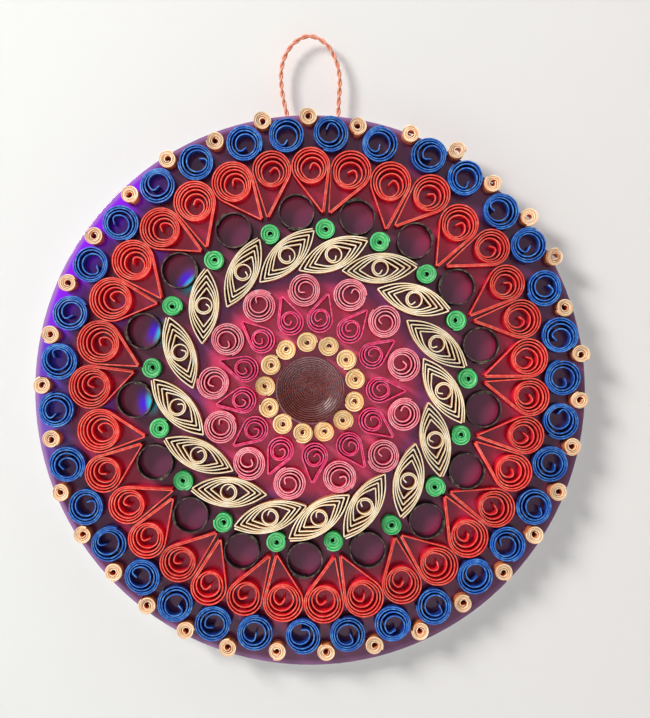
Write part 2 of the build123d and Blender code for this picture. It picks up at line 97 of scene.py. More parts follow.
def blank_material(name):
    """A material with an empty node tree."""
    material = bpy.data.materials.new(name)
    material.use_nodes = True
    material.node_tree.nodes.clear()
    return material


def mixed(tree, share, first, second, blend="MIX"):
    """Two colours mixed by a share."""
    return wire(
        tree, "ShaderNodeMix", {0: share, 6: first, 7: second},
        out=2, data_type="RGBA", blend_type=blend,
    )


wall_paint = blank_material("wall_paint")
tree = wall_paint.node_tree
place = wire(tree, "ShaderNodeTexCoord", out="Object")
# Painted light: the wall's paint runs a little lighter and warmer to the right, set against the
# window lamp's light falling off across it.
painted_wall_light = wire(
    tree, "ShaderNodeMapRange",
    {0: wire(tree, "ShaderNodeSeparateXYZ", {0: place}), 1: -0.1, 2: 0.11},
    interpolation_type="SMOOTHSTEP",
)
wall_colour = mixed(tree, painted_wall_light, paint(221, 222, 221), paint(226, 224, 222))
plaster = wire(tree, "ShaderNodeBsdfDiffuse", {"Color": wall_colour})
from_behind = wire(tree, "ShaderNodeNewGeometry", out="Backfacing")
shadow_ray = wire(tree, "ShaderNodeLightPath", out="Is Shadow Ray")
let_through = wire(tree, "ShaderNodeMath", {0: from_behind, 1: shadow_ray}, operation="MAXIMUM")
clear = wire(tree, "ShaderNodeBsdfTransparent")
wall_mix = wire(tree, "ShaderNodeMixShader", {0: let_through, 1: plaster, 2: clear})
wire(tree, "ShaderNodeOutputMaterial", {"Surface": wall_mix})

wall_y = 0.0034
wall_reach = 1.5
floor_z = -0.3
wall_bend = 0.12
wall_steps = 12
profile = [(wall_y, wall_reach)]
for k in range(wall_steps + 1):
    turn = pi / 2 * k / wall_steps
    profile.append(
        (wall_y - wall_bend * (1 - cos(turn)), floor_z + wall_bend * (1 - sin(turn)))
    )
profile.append((wall_y - wall_reach, floor_z))
wall_mesh = bpy.data.meshes.new("wall")
wall_mesh.from_pydata(
    [(side * wall_reach, y, z) for y, z in profile for side in (-1, 1)],
    [],
    [(2 * k, 2 * k + 2, 2 * k + 3, 2 * k + 1) for k in range(len(profile) - 1)],
)
wall_mesh.shade_smooth()
wall_mesh.materials.append(wall_paint)
wall = bpy.data.objects.new("wall", wall_mesh)
bpy.context.scene.collection.objects.link(wall)

world = bpy.data.worlds.new("room")
bpy.context.scene.world = world
world.use_nodes = True
world.node_tree.nodes["Background"].inputs["Color"].default_value = paint(246, 247, 250)
world.node_tree.nodes["Background"].inputs["Strength"].default_value = 0.42


def lamp(name, place, towards, size, watts, colour):
    """A soft square lamp that isn't seen itself."""
    light = bpy.data.lights.new(name, "AREA")
    light.size, light.energy, light.color = size, watts, colour
    made = bpy.data.objects.new(name, light)
    bpy.context.scene.collection.objects.link(made)
    made.location = place
    made.rotation_euler = (Vector(towards) - Vector(place)).to_track_quat("-Z", "Y").to_euler()
    made.visible_camera = False
    return made


lamp("window", (-0.52, -0.47, 0.4), (0, 0, 0), 0.24, 6.2, (1, 0.98, 0.95))
lamp("ceiling", (0.1, -0.25, 0.8), (0, 0, 0), 0.6, 1.3, (0.95, 0.97, 1))
lamp("behind", (-0.3, 0.6, 0.45), (0, 0, 0), 0.5, 8.0, (1, 1, 1))


# The cord: two plies of copper-coloured yarn twisted together into a cord a millimetre thick,
# bent into a loop, with both of its ends glued flat behind the top of the disc.
cord_thickness = 0.001
cord_lie = 0.00055
twist_length = 0.0042
cord_route = [
    (-0.0042, -0.0085), (-0.0043, -0.0046), (-0.0048, -0.0006), (-0.0059, 0.0036),
    (-0.0066, 0.0082), (-0.0061, 0.0126), (-0.0039, 0.0164), (-0.0003, 0.0183),
    (0.0035, 0.0166), (0.0058, 0.0128), (0.0067, 0.0083), (0.0063, 0.0036),
    (0.0062, -0.0008), (0.0058, -0.0048), (0.0057, -0.0086),
]
route = bpy.data.curves.new("cord_route", "CURVE")
route.dimensions = "3D"
route.resolution_u = 16
spline = route.splines.new("NURBS")
spline.points.add(len(cord_route) - 1)
for point, (across, up) in zip(spline.points, cord_route):
    point.co = (across, cord_lie, disc_high.z + up, 1)
spline.order_u = 3
spline.use_endpoint_u = True
cord_guide = bpy.data.objects.new("cord_guide", route)
bpy.context.scene.collection.objects.link(cord_guide)
line = bpy.data.meshes.new_from_object(
    cord_guide.evaluated_get(bpy.context.evaluated_depsgraph_get())
)


def new_tree(name, kind, inputs, outputs):
    """A node tree with its named inputs and outputs, and the sockets that its inputs give."""
    tree = bpy.data.node_groups.new(name, kind)
    for label, socket_kind in inputs.items():
        tree.interface.new_socket(label, in_out="INPUT", socket_type=socket_kind)
    for label, socket_kind in outputs.items():
        tree.interface.new_socket(label, in_out="OUTPUT", socket_type=socket_kind)
    given = tree.nodes.new("NodeGroupInput").outputs
    return tree, {label: given[label] for label in inputs}


GEOMETRY, NUMBER, MATERIAL = "NodeSocketGeometry", "NodeSocketFloat", "NodeSocketMaterial"
twisting, given = new_tree(
    "two_ply_cord", "GeometryNodeTree",
    {
        "Geometry": GEOMETRY, "Cord Thickness": NUMBER, "Twist Length": NUMBER,
        "Step": NUMBER, "Material": MATERIAL,
    },
    {"Geometry": GEOMETRY},
)
ply_radius = wire(
    twisting, "ShaderNodeMath", {0: given["Cord Thickness"], 1: 0.26}, operation="MULTIPLY"
)
fine_line = wire(
    twisting, "GeometryNodeResampleCurve",
    {"Curve": given["Geometry"], "Length": given["Step"]}, mode="LENGTH",
)
length_along = wire(twisting, "GeometryNodeSplineParameter", out="Length")
normal = wire(twisting, "GeometryNodeInputNormal")
tangent = wire(twisting, "GeometryNodeInputTangent")
sideways = wire(
    twisting, "ShaderNodeVectorMath", {0: tangent, 1: normal}, operation="CROSS_PRODUCT"
)
turns = wire(
    twisting, "ShaderNodeMath", {0: length_along, 1: given["Twist Length"]}, operation="DIVIDE"
)
plies = []
for start in (0, pi):
    angle = wire(
        twisting, "ShaderNodeMath", {0: turns, 1: 2 * pi, 2: start}, operation="MULTIPLY_ADD"
    )
    ways = []
    for operation, way in (("COSINE", normal), ("SINE", sideways)):
        swing = wire(twisting, "ShaderNodeMath", {0: angle}, operation=operation)
        reach = wire(twisting, "ShaderNodeMath", {0: swing, 1: ply_radius}, operation="MULTIPLY")
        ways.append(
            wire(twisting, "ShaderNodeVectorMath", {0: way, "Scale": reach}, operation="SCALE")
        )
    offset = wire(twisting, "ShaderNodeVectorMath", {0: ways[0], 1: ways[1]}, operation="ADD")
    swung = wire(twisting, "GeometryNodeSetPosition", {"Geometry": fine_line, "Offset": offset})
    marked = wire(
        twisting, "GeometryNodeStoreNamedAttribute",
        {"Geometry": swung, "Name": "along", "Value": length_along},
        data_type="FLOAT", domain="POINT",
    )
    ring = wire(
        twisting, "GeometryNodeCurvePrimitiveCircle", {"Resolution": 12, "Radius": ply_radius}
    )
    ring = wire(
        twisting, "GeometryNodeStoreNamedAttribute",
        {
            "Geometry": ring, "Name": "around",
            "Value": wire(twisting, "GeometryNodeSplineParameter", out="Factor"),
        },
        data_type="FLOAT", domain="POINT",
    )
    plies.append(
        wire(
            twisting, "GeometryNodeCurveToMesh",
            {"Curve": marked, "Profile Curve": ring, "Fill Caps": True},
        )
    )
both = twisting.nodes.new("GeometryNodeJoinGeometry")
for ply in plies:
    twisting.links.new(ply, both.inputs[0])
whole = wire(twisting, "GeometryNodeRealizeInstances", {0: both.outputs[0]})
coated = wire(
    twisting, "GeometryNodeSetMaterial", {"Geometry": whole, "Material": given["Material"]}
)
wire(twisting, "NodeGroupOutput", {0: coated})


def through(tree, source, name, **values):
    """The mesh that a Geometry Nodes tree makes of an object, as a plain piece of its own."""
    holder = bpy.data.objects.new(name + "_source", source)
    bpy.context.scene.collection.objects.link(holder)
    modifier = holder.modifiers.new("making", "NODES")
    modifier.node_group = tree
    for socket in tree.interface.items_tree:
        if socket.in_out == "INPUT" and socket.name in values:
            modifier[socket.identifier] = values[socket.name]
    graph = bpy.context.evaluated_depsgraph_get()
    mesh = bpy.data.meshes.new_from_object(
        holder.evaluated_get(graph), preserve_all_data_layers=True, depsgraph=graph
    )
    bpy.data.objects.remove(holder)
    mesh.name = name
    piece = bpy.data.objects.new(name, mesh)
    bpy.context.scene.collection.objects.link(piece)
    return piece


copper_yarn = blank_material("copper_yarn")
tree = copper_yarn.node_tree
along = wire(tree, "ShaderNodeAttribute", out="Fac", attribute_name="along")
around = wire(tree, "ShaderNodeAttribute", out="Fac", attribute_name="around")
lay = wire(
    tree, "ShaderNodeMath", {0: along, 1: 1 / 0.0016, 2: wire(
        tree, "ShaderNodeMath", {0: around, 1: 4}, operation="MULTIPLY"
    )}, operation="MULTIPLY_ADD",
)
strand = wire(
    tree, "ShaderNodeMath",
    {0: wire(tree, "ShaderNodeMath", {0: lay, 1: 2 * pi}, operation="MULTIPLY")},
    operation="SINE",
)
yarn_place = wire(tree, "ShaderNodeTexCoord", out="Object")
fuzz = wire(
    tree, "ShaderNodeTexNoise", {"Vector": yarn_place, "Scale": 2600, "Detail": 5}, out=0
)
patches = wire(
    tree, "ShaderNodeTexNoise", {"Vector": yarn_place, "Scale": 420, "Detail": 2}, out=0
)
# Painted shade: the yarn is darker salmon in the grooves between its strands.
strand_groove_shade = wire(tree, "ShaderNodeMapRange", {0: strand, 1: -1, 2: 0.6})
yarn_colour = mixed(tree, patches, paint(232, 148, 112), paint(250, 190, 150))
yarn_colour = mixed(tree, strand_groove_shade, paint(206, 92, 84), yarn_colour)
yarn_colour = mixed(
    tree, wire(tree, "ShaderNodeMapRange", {0: fuzz, 1: 0.58, 2: 0.75}),
    yarn_colour, paint(255, 222, 190),
)
height = wire(tree, "ShaderNodeMath", {0: strand, 1: 0.6, 2: fuzz}, operation="MULTIPLY_ADD")
bump = wire(tree, "ShaderNodeBump", {"Height": height, "Distance": 0.00005, "Strength": 0.8})
shader = wire(
    tree, "ShaderNodeBsdfPrincipled",
    {"Base Color": yarn_colour, "Roughness": 0.55, "Normal": bump, "Sheen Weight": 0.3},
)
wire(tree, "ShaderNodeOutputMaterial", {"Surface": shader})

cord = through(
    twisting, route, "twisted_cord",
    **{
        "Cord Thickness": cord_thickness, "Twist Length": twist_length, "Step": 0.00025,
        "Material": copper_yarn,
    },
)
bpy.data.objects.remove(cord_guide)
cord.data.shade_smooth()
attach(cord, "root")
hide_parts("hanging_cord")


# The disc: plum-dyed plastic, pinker towards the hub, its colour ring by ring partly dye and
# partly painted reflection of the paper over it and painted light against the shade between the
# strips; painted violet and cyan glints at the left, a painted lavender highlight along the rim,
# and a plain silver lacquer at the back. It keeps its CAD solid.
disc_plastic = blank_material("disc_plastic")
tree = disc_plastic.node_tree
place = wire(tree, "ShaderNodeTexCoord", out="Object")
parts = tree.nodes.new("ShaderNodeSeparateXYZ")
tree.links.new(place, parts.inputs[0])
flat_place = wire(tree, "ShaderNodeCombineXYZ", {0: parts.outputs["X"], 1: parts.outputs["Z"]})
radius = wire(
    tree, "ShaderNodeVectorMath", {0: flat_place}, out="Value", operation="LENGTH"
)
angle = wire(
    tree, "ShaderNodeMath", {0: parts.outputs["X"], 1: parts.outputs["Z"]}, operation="ARCTAN2"
)
bearing_share = wire(tree, "ShaderNodeMath", {0: angle, 1: 1 / (2 * pi)}, operation="MULTIPLY")
bearing_share = wire(tree, "ShaderNodeMath", {0: bearing_share, 1: 1}, operation="ADD")
bearing_share = wire(tree, "ShaderNodeMath", {0: bearing_share}, operation="FRACT")


def ramp(tree, share, stops, interpolation="EASE"):
    """A colour ramp from its places and colours."""
    colours = wire(tree, "ShaderNodeValToRGB", {0: share})
    band = tree.nodes[-1].color_ramp
    band.interpolation = interpolation
    while len(band.elements) < len(stops):
        band.elements.new(1)
    for element, (position, colour) in zip(band.elements, stops):
        element.position = position
        element.color = colour
    return colours


dark_dye, plum_dye = paint(70, 26, 50), paint(96, 36, 66)
violet, blue_light, cyan = paint(150, 0, 255), paint(84, 10, 255), paint(50, 226, 255)
face_colour = ramp(
    tree, bearing_share,
    [
        (0, plum_dye), (0.12, paint(98, 36, 66)), (0.25, paint(86, 32, 58)),
        (0.36, paint(80, 30, 70)), (0.5, paint(88, 34, 66)), (0.62, paint(92, 40, 72)),
        (0.7, dark_dye), (0.82, paint(76, 28, 74)), (0.93, paint(92, 36, 80)), (1, plum_dye),
    ],
)
cloud = wire(
    tree, "ShaderNodeTexNoise", {"Vector": place, "Scale": 55, "Detail": 3, "Distortion": 0.6}
)
cloudy = wire(tree, "ShaderNodeMapRange", {0: cloud, 1: 0.35, 2: 0.7})
face_colour = mixed(tree, cloudy, face_colour, paint(112, 34, 62))
# Partly dye, partly painted light: by radius the disc takes the tint the paper rings over it
# reflect, and is brightened against the shade between the strips.
ring_dye_and_reflections = ramp(
    tree, wire(tree, "ShaderNodeMapRange", {0: radius, 1: 0.0, 2: 0.06}),
    [
        (0.2, paint(255, 104, 150)), (0.35, paint(250, 74, 126)), (0.42, paint(132, 54, 122)),
        (0.5, paint(150, 56, 96)),
        (0.62, paint(126, 52, 88)), (0.73, paint(206, 34, 88)), (0.82, paint(176, 42, 92)),
        (0.9, paint(112, 50, 98)), (1, paint(104, 46, 92)),
    ],
)
face_colour = mixed(tree, 0.78, face_colour, ring_dye_and_reflections)
black, white = (0, 0, 0, 1), (1, 1, 1, 1)
# Painted glints: cyan and blue crescents at three bearings inside the black rings, and fainter
# blue patches further out.
crescent_glints = ramp(
    tree, bearing_share,
    [
        (0, black), (0.722, black), (0.737, white), (0.755, black), (0.792, black),
        (0.809, white), (0.825, black), (0.85, black), (0.866, white), (0.88, black),
    ],
)
crescent_glint_band = ramp(
    tree, wire(tree, "ShaderNodeMapRange", {0: radius, 1: 0.03, 2: 0.05}),
    [(0, black), (0.16, black), (0.22, white), (0.34, white), (0.42, black), (0.6, black),
     (0.68, (0.6, 0.6, 0.6, 1)), (0.74, (0.6, 0.6, 0.6, 1)), (0.82, black), (1, black)],
)
crescent_glint_colour = ramp(
    tree, wire(tree, "ShaderNodeMapRange", {0: radius, 1: 0.034, 2: 0.038}),
    [(0, cyan), (0.3, cyan), (0.6, blue_light), (1, blue_light)],
)
# Painted glint: a violet band just inside the rim on the left and upper left.
rim_glint_arc = ramp(
    tree, bearing_share,
    [(0, black), (0.69, black), (0.73, (0.8, 0.8, 0.8, 1)), (0.8, white), (0.885, white),
     (0.915, black), (1, black)],
)
rim_glint_band = wire(tree, "ShaderNodeMapRange", {0: radius, 1: 0.0525, 2: 0.0555})
rim_glint_colour = ramp(
    tree, bearing_share,
    [(0.72, paint(120, 96, 214)), (0.775, paint(110, 60, 222)), (0.8, violet), (0.9, violet)],
)
rim_glint = wire(tree, "ShaderNodeMath", {0: rim_glint_arc, 1: rim_glint_band}, operation="MULTIPLY")
face_colour = mixed(tree, rim_glint, face_colour, rim_glint_colour)
glint = wire(tree, "ShaderNodeMath", {0: crescent_glints, 1: crescent_glint_band}, operation="MULTIPLY")
face_colour = mixed(tree, glint, face_colour, crescent_glint_colour)
# Painted highlight: a thin lavender line at the rim, brightest on the left and faintest on the
# right.
rim_highlight_band = wire(tree, "ShaderNodeMapRange", {0: radius, 1: 0.059, 2: 0.0598})
rim_highlight_arc = ramp(
    tree, bearing_share,
    [
        (0, (0.6, 0.6, 0.6, 1)), (0.15, (0.3, 0.3, 0.3, 1)), (0.25, (0.15, 0.15, 0.15, 1)),
        (0.45, (0.2, 0.2, 0.2, 1)), (0.6, (0.55, 0.55, 0.55, 1)), (0.72, (0.9, 0.9, 0.9, 1)),
        (1, (0.6, 0.6, 0.6, 1)),
    ],
)
face_colour = mixed(
    tree, wire(tree, "ShaderNodeMath", {0: rim_highlight_band, 1: rim_highlight_arc}, operation="MULTIPLY"),
    face_colour, paint(176, 132, 190),
)
scratches = wire(
    tree, "ShaderNodeTexNoise",
    {
        "Vector": wire(
            tree, "ShaderNodeMapping",
            {"Vector": place, "Rotation": (0, radians(24), 0), "Scale": (1, 1, 0.04)},
        ),
        "Scale": 900, "Detail": 2,
    },
)
facing = wire(tree, "ShaderNodeTexCoord", out="Normal")
back_share = wire(
    tree, "ShaderNodeMapRange",
    {0: wire(tree, "ShaderNodeSeparateXYZ", {0: facing}, out="Y"), 1: 0.4, 2: 0.6},
)
hub_band = wire(tree, "ShaderNodeMapRange", {0: radius, 1: 0.0168, 2: 0.0178})
lacquer = mixed(tree, hub_band, paint(190, 170, 186), paint(196, 197, 201))
disc_colour = mixed(tree, back_share, face_colour, lacquer)
disc_roughness = wire(
    tree, "ShaderNodeMapRange", {0: scratches, 1: 0.3, 2: 0.75, 3: 0.15, 4: 0.19}
)
shader = wire(
    tree, "ShaderNodeBsdfPrincipled",
    {
        "Base Color": disc_colour, "Metallic": 0.15, "Roughness": disc_roughness,
        "Coat Weight": 0.6, "Coat Roughness": 0.08,
    },
)
wire(tree, "ShaderNodeOutputMaterial", {"Surface": shader})
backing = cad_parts["backing_disc"]
backing.data.materials.clear()
backing.data.materials.append(disc_plastic)


# The coil in the hub: chocolate-brown strip wound to the middle, then pushed into a shallow bowl,
# with satin sides and cut edges. It stands a little nearer the hub's middle than the solid.
COLOUR = "NodeSocketColor"
grain, given = new_tree(
    "paper_grain", "ShaderNodeTree",
    {
        "Side": COLOUR, "Edge": COLOUR, "Painted Shade": COLOUR, "Worn Highlight": COLOUR,
        "Edge Y": NUMBER, "Foot Y": NUMBER, "Wear And Highlight": NUMBER, "Winding": NUMBER,
        "Gap Shade": NUMBER,
    },
    {"Color": COLOUR, "Roughness": NUMBER, "Height": NUMBER},
)
place = wire(grain, "ShaderNodeTexCoord", out="Object")
facing = wire(grain, "ShaderNodeTexCoord", out="Normal")
out_y = wire(grain, "ShaderNodeSeparateXYZ", {0: facing}, out="Y")
edge_share = wire(grain, "ShaderNodeMapRange", {0: out_y, 1: -0.45, 2: -0.75})
depth = wire(
    grain, "ShaderNodeMapRange",
    {
        0: wire(grain, "ShaderNodeSeparateXYZ", {0: place}, out="Y"),
        1: given["Edge Y"], 2: given["Foot Y"],
    },
)
grainy = wire(
    grain, "ShaderNodeTexNoise", {"Vector": place, "Scale": 3200, "Detail": 4, "Roughness": 0.6}
)
drift = wire(grain, "ShaderNodeTexNoise", {"Vector": place, "Scale": 240, "Detail": 2})
frayed = wire(
    grain, "ShaderNodeTexNoise", {"Vector": place, "Scale": 900, "Detail": 3, "Roughness": 0.7}
)
tone = wire(grain, "ShaderNodeAttribute", out="Fac", attribute_name="tone")
coil_middle = wire(grain, "ShaderNodeAttribute", out="Vector", attribute_name="middle")
outward = wire(
    grain, "ShaderNodeVectorMath", {0: place, 1: coil_middle}, operation="SUBTRACT"
)
outward = wire(
    grain, "ShaderNodeVectorMath", {0: outward, 1: (1, 0, 1)}, operation="MULTIPLY"
)
away = wire(grain, "ShaderNodeVectorMath", {0: outward}, out="Value", operation="LENGTH")
outward_x = wire(grain, "ShaderNodeSeparateXYZ", {0: outward}, out="X")
outward_z = wire(grain, "ShaderNodeSeparateXYZ", {0: outward}, out="Z")
turned = wire(grain, "ShaderNodeMath", {0: outward_x, 1: outward_z}, operation="ARCTAN2")
# Painted shade: dark lines on the cut edge between the windings, a spiral spaced by Winding.
rounds = wire(grain, "ShaderNodeMath", {0: away, 1: given["Winding"]}, operation="DIVIDE")
rounds = wire(
    grain, "ShaderNodeMath", {0: rounds, 1: 2 * pi, 2: turned}, operation="MULTIPLY_ADD"
)
winding_wave = wire(grain, "ShaderNodeMath", {0: rounds}, operation="COSINE")
between = wire(grain, "ShaderNodeMapRange", {0: winding_wave, 1: -0.1, 2: -0.8})
between = wire(grain, "ShaderNodeMath", {0: between, 1: given["Gap Shade"]}, operation="MULTIPLY")
# Painted shade: the side darkens towards the painted shade colour down towards the foot of the
# strip.
side = mixed(
    grain, wire(grain, "ShaderNodeMath", {0: depth, 1: 0.75}, operation="MULTIPLY"),
    given["Side"], given["Painted Shade"],
)
# Partly wear, partly painted highlight: light flecks along the cut edge where the noise is high.
worn_highlight_share = wire(
    grain, "ShaderNodeMath",
    {0: wire(grain, "ShaderNodeMapRange", {0: frayed, 1: 0.45, 2: 0.68}), 1: given["Wear And Highlight"]},
    operation="MULTIPLY",
)
edge = mixed(grain, worn_highlight_share, given["Edge"], given["Worn Highlight"])
edge = mixed(grain, between, edge, given["Painted Shade"])
colour = mixed(grain, edge_share, side, edge)
level = wire(
    grain, "ShaderNodeMath", {0: tone, 1: 0.22, 2: wire(
        grain, "ShaderNodeMath", {0: drift, 1: 0.3, 2: 0.74}, operation="MULTIPLY_ADD"
    )}, operation="MULTIPLY_ADD",
)
level = wire(grain, "ShaderNodeMath", {0: grainy, 1: 0.16, 2: level}, operation="MULTIPLY_ADD")
level = wire(grain, "ShaderNodeMath", {0: level, 1: 0.1}, operation="SUBTRACT")
grey = wire(grain, "ShaderNodeCombineColor", {0: level, 1: level, 2: level})
colour = mixed(grain, 1, colour, grey, blend="MULTIPLY")
roughness = wire(grain, "ShaderNodeMath", {0: grainy, 1: 0.3, 2: 0.38}, operation="MULTIPLY_ADD")
group_end = grain.nodes.new("NodeGroupOutput")
for label, socket in {"Color": colour, "Roughness": roughness, "Height": grainy}.items():
    grain.links.new(socket, group_end.inputs[label])


def paper(name, side, edge, painted_shade, worn_highlight, wear_and_highlight=0.6, specular=0.4, matt=1.0, gap_shade=0.0,
          winding=0.0006, edge_y=-0.0042, foot_y=-0.0012):
    """A quilling paper: its side, cut edge, the painted shade deep in and between its windings,
    and the light flecks on its cut edge, partly wear and partly painted highlight.
    """
    material = blank_material(name)
    tree = material.node_tree
    group = tree.nodes.new("ShaderNodeGroup")
    group.node_tree = grain
    for label, value in {
        "Side": paint(*side), "Edge": paint(*edge), "Painted Shade": paint(*painted_shade),
        "Worn Highlight": paint(*worn_highlight), "Edge Y": edge_y, "Foot Y": foot_y, "Wear And Highlight": wear_and_highlight,
        "Winding": winding, "Gap Shade": gap_shade,
    }.items():
        group.inputs[label].default_value = value
    bump = wire(
        tree, "ShaderNodeBump",
        {"Height": group.outputs["Height"], "Distance": 0.00003, "Strength": 0.5},
    )
    roughness = wire(
        tree, "ShaderNodeMath", {0: group.outputs["Roughness"], 1: matt}, operation="MULTIPLY"
    )
    shader = wire(
        tree, "ShaderNodeBsdfPrincipled",
        {
            "Base Color": group.outputs["Color"], "Roughness": roughness,
            "Normal": bump, "Specular IOR Level": specular,
        },
    )
    wire(tree, "ShaderNodeOutputMaterial", {"Surface": shader})
    return material


brown_paper = paper(
    "brown_paper", (98, 34, 28), (108, 40, 34), (48, 14, 12), (140, 76, 66), wear_and_highlight=0.35,
    specular=0.45, matt=0.7, edge_y=-0.004, foot_y=-0.0012,
)
winding, given = new_tree(
    "dished_coil", "GeometryNodeTree",
    {
        "Geometry": GEOMETRY, "Coil Radius": NUMBER, "Eye Radius": NUMBER, "Turns": NUMBER,
        "Strip Height": NUMBER, "Strip Thickness": NUMBER, "Seat Radius": NUMBER,
        "Floor Radius": NUMBER, "Dish Depth": NUMBER, "Looseness": NUMBER,
        "Material": MATERIAL,
    },
    {"Geometry": GEOMETRY},
)
spiral = wire(
    winding, "GeometryNodeCurveSpiral",
    {
        "Resolution": 44, "Rotations": given["Turns"], "Start Radius": given["Eye Radius"],
        "End Radius": given["Coil Radius"], "Height": 0.0,
    },
)
upright = wire(winding, "GeometryNodeSetCurveNormal", {"Curve": spiral}, mode="Z_UP")
strip_end = wire(
    winding, "GeometryNodeCurvePrimitiveQuadrilateral",
    {"Width": given["Strip Thickness"], "Height": given["Strip Height"]},
)
coil = wire(
    winding, "GeometryNodeCurveToMesh",
    {"Curve": upright, "Profile Curve": strip_end, "Fill Caps": True},
)
coil_place = wire(winding, "GeometryNodeInputPosition")
out_from_middle = wire(
    winding, "ShaderNodeVectorMath",
    {0: wire(
        winding, "ShaderNodeVectorMath", {0: coil_place, 1: (1, 1, 0)}, operation="MULTIPLY"
    )},
    out="Value", operation="LENGTH",
)
sunk = wire(
    winding, "ShaderNodeMapRange",
    {
        0: out_from_middle, 1: given["Floor Radius"], 2: given["Seat Radius"],
        3: given["Dish Depth"], 4: 0.0,
    },
    interpolation_type="SMOOTHSTEP",
)
slipped = wire(winding, "ShaderNodeTexNoise", {"Vector": coil_place, "Scale": 900.0})
slipped = wire(winding, "ShaderNodeMath", {0: slipped, 1: 0.5}, operation="SUBTRACT")
sunk = wire(
    winding, "ShaderNodeMath", {0: slipped, 1: given["Looseness"], 2: sunk},
    operation="MULTIPLY_ADD",
)
pushed = wire(
    winding, "GeometryNodeSetPosition",
    {"Geometry": coil, "Offset": wire(winding, "ShaderNodeCombineXYZ", {2: sunk})},
)
plain = wire(winding, "GeometryNodeRealizeInstances", {0: pushed})
browned = wire(
    winding, "GeometryNodeSetMaterial", {"Geometry": plain, "Material": given["Material"]}
)
wire(winding, "NodeGroupOutput", {0: browned})

hub_low, hub_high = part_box("centre_coil")
hub_radius = (hub_high.x - hub_low.x) / 2
hub_middle = (hub_high + hub_low) / 2
strip_height = 0.003
hub_strip_thickness = 0.0003
hub_widening = 0.00015
hub_seat_width = 0.0002
hub_eye_radius = 0.00032
hub_floor_radius = 0.0034
hub_turns = 15.0
hub_depth = 0.0013
hub_looseness = 0.0005
hub_place_share = 0.5
crease = radians(40)
hub_coil = through(
    winding, bpy.data.meshes.new("hub_coil"), "hub_coil",
    **{
        "Coil Radius": hub_radius + hub_widening, "Eye Radius": hub_eye_radius,
        "Turns": hub_turns, "Strip Height": strip_height,
        "Strip Thickness": hub_strip_thickness, "Seat Radius": hub_radius - hub_seat_width,
        "Floor Radius": hub_floor_radius, "Dish Depth": hub_depth,
        "Looseness": hub_looseness, "Material": brown_paper,
    },
)
hub_coil.data.transform(Matrix.Rotation(-pi / 2, 4, "X"))
hub_coil.data.transform(
    Matrix.Translation(
        (
            hub_middle.x * hub_place_share,
            hub_low.y + strip_height / 2,
            hub_middle.z * hub_place_share,
        )
    )
)
hub_coil.data.shade_smooth()
hub_coil.data.set_sharp_from_angle(angle=crease)
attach(hub_coil, "root")
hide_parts("centre_coil")


# The gold coils: thirteen strips of gold paper wound tight and glued round the hub, their edges
# pushed a little out of level. Every ring of paper from here on is finished the same way.
WHOLE = "NodeSocketInt"
finishing, given = new_tree(
    "hand_wound", "GeometryNodeTree",
    {
        "Geometry": GEOMETRY, "Edge Y": NUMBER, "Unevenness": NUMBER, "Wave Length": NUMBER,
        "Tilt": NUMBER, "Dish": NUMBER, "Dish Radius": NUMBER, "Ridge": NUMBER,
        "Ridge Width": NUMBER, "Seed": WHOLE, "Material": MATERIAL,
    },
    {"Geometry": GEOMETRY},
)
joined = wire(
    finishing, "GeometryNodeMergeByDistance", {"Geometry": given["Geometry"], "Distance": 1e-6}
)
island = wire(finishing, "GeometryNodeInputMeshIsland")
position = wire(finishing, "GeometryNodeInputPosition")
total = wire(
    finishing, "GeometryNodeAccumulateField", {0: position, "Group ID": island},
    out="Total", data_type="FLOAT_VECTOR",
)
count = wire(
    finishing, "GeometryNodeAccumulateField", {"Value": 1.0, "Group ID": island},
    out="Total", data_type="FLOAT",
)
middle = wire(
    finishing, "ShaderNodeVectorMath",
    {0: total, "Scale": wire(finishing, "ShaderNodeMath", {0: 1.0, 1: count}, operation="DIVIDE")},
    operation="SCALE",
)
from_middle = wire(
    finishing, "ShaderNodeVectorMath", {0: position, 1: middle}, operation="SUBTRACT"
)
in_plane = wire(
    finishing, "ShaderNodeVectorMath", {0: from_middle, 1: (1, 0, 1)}, operation="MULTIPLY"
)
lean = wire(
    finishing, "FunctionNodeRandomValue",
    {"Min": (-1, 0, -1), "Max": (1, 0, 1), "ID": island, "Seed": given["Seed"]},
    out="Value", data_type="FLOAT_VECTOR",
)
leaning = wire(
    finishing, "ShaderNodeVectorMath", {0: in_plane, 1: lean}, out="Value",
    operation="DOT_PRODUCT",
)
leaning = wire(
    finishing, "ShaderNodeMath", {0: leaning, 1: given["Tilt"]}, operation="MULTIPLY"
)
waves = wire(
    finishing, "ShaderNodeTexNoise",
    {
        "Vector": wire(
            finishing, "ShaderNodeVectorMath",
            {0: position, "Scale": wire(
                finishing, "ShaderNodeMath", {0: 1.0, 1: given["Wave Length"]},
                operation="DIVIDE",
            )},
            operation="SCALE",
        ),
        "Scale": 1.0, "Detail": 2.0,
    },
)
waves = wire(finishing, "ShaderNodeMath", {0: waves, 1: 0.5}, operation="SUBTRACT")
waves = wire(
    finishing, "ShaderNodeMath", {0: waves, 1: given["Unevenness"], 2: leaning},
    operation="MULTIPLY_ADD",
)
away = wire(
    finishing, "ShaderNodeVectorMath", {0: in_plane}, out="Value", operation="LENGTH"
)
hollow = wire(
    finishing, "ShaderNodeMapRange",
    {0: away, 1: 0.0, 2: given["Dish Radius"], 3: given["Dish"], 4: 0.0},
)
rise = wire(finishing, "ShaderNodeMath", {0: waves, 1: hollow}, operation="ADD")
winding = wire(
    finishing, "ShaderNodeMath", {0: away, 1: given["Ridge Width"]}, operation="DIVIDE"
)
ridge_place = wire(finishing, "ShaderNodeCombineXYZ", {0: winding, 1: island})
ridges = wire(
    finishing, "ShaderNodeTexNoise", {"Vector": ridge_place, "Scale": 1.0, "Detail": 1.0}
)
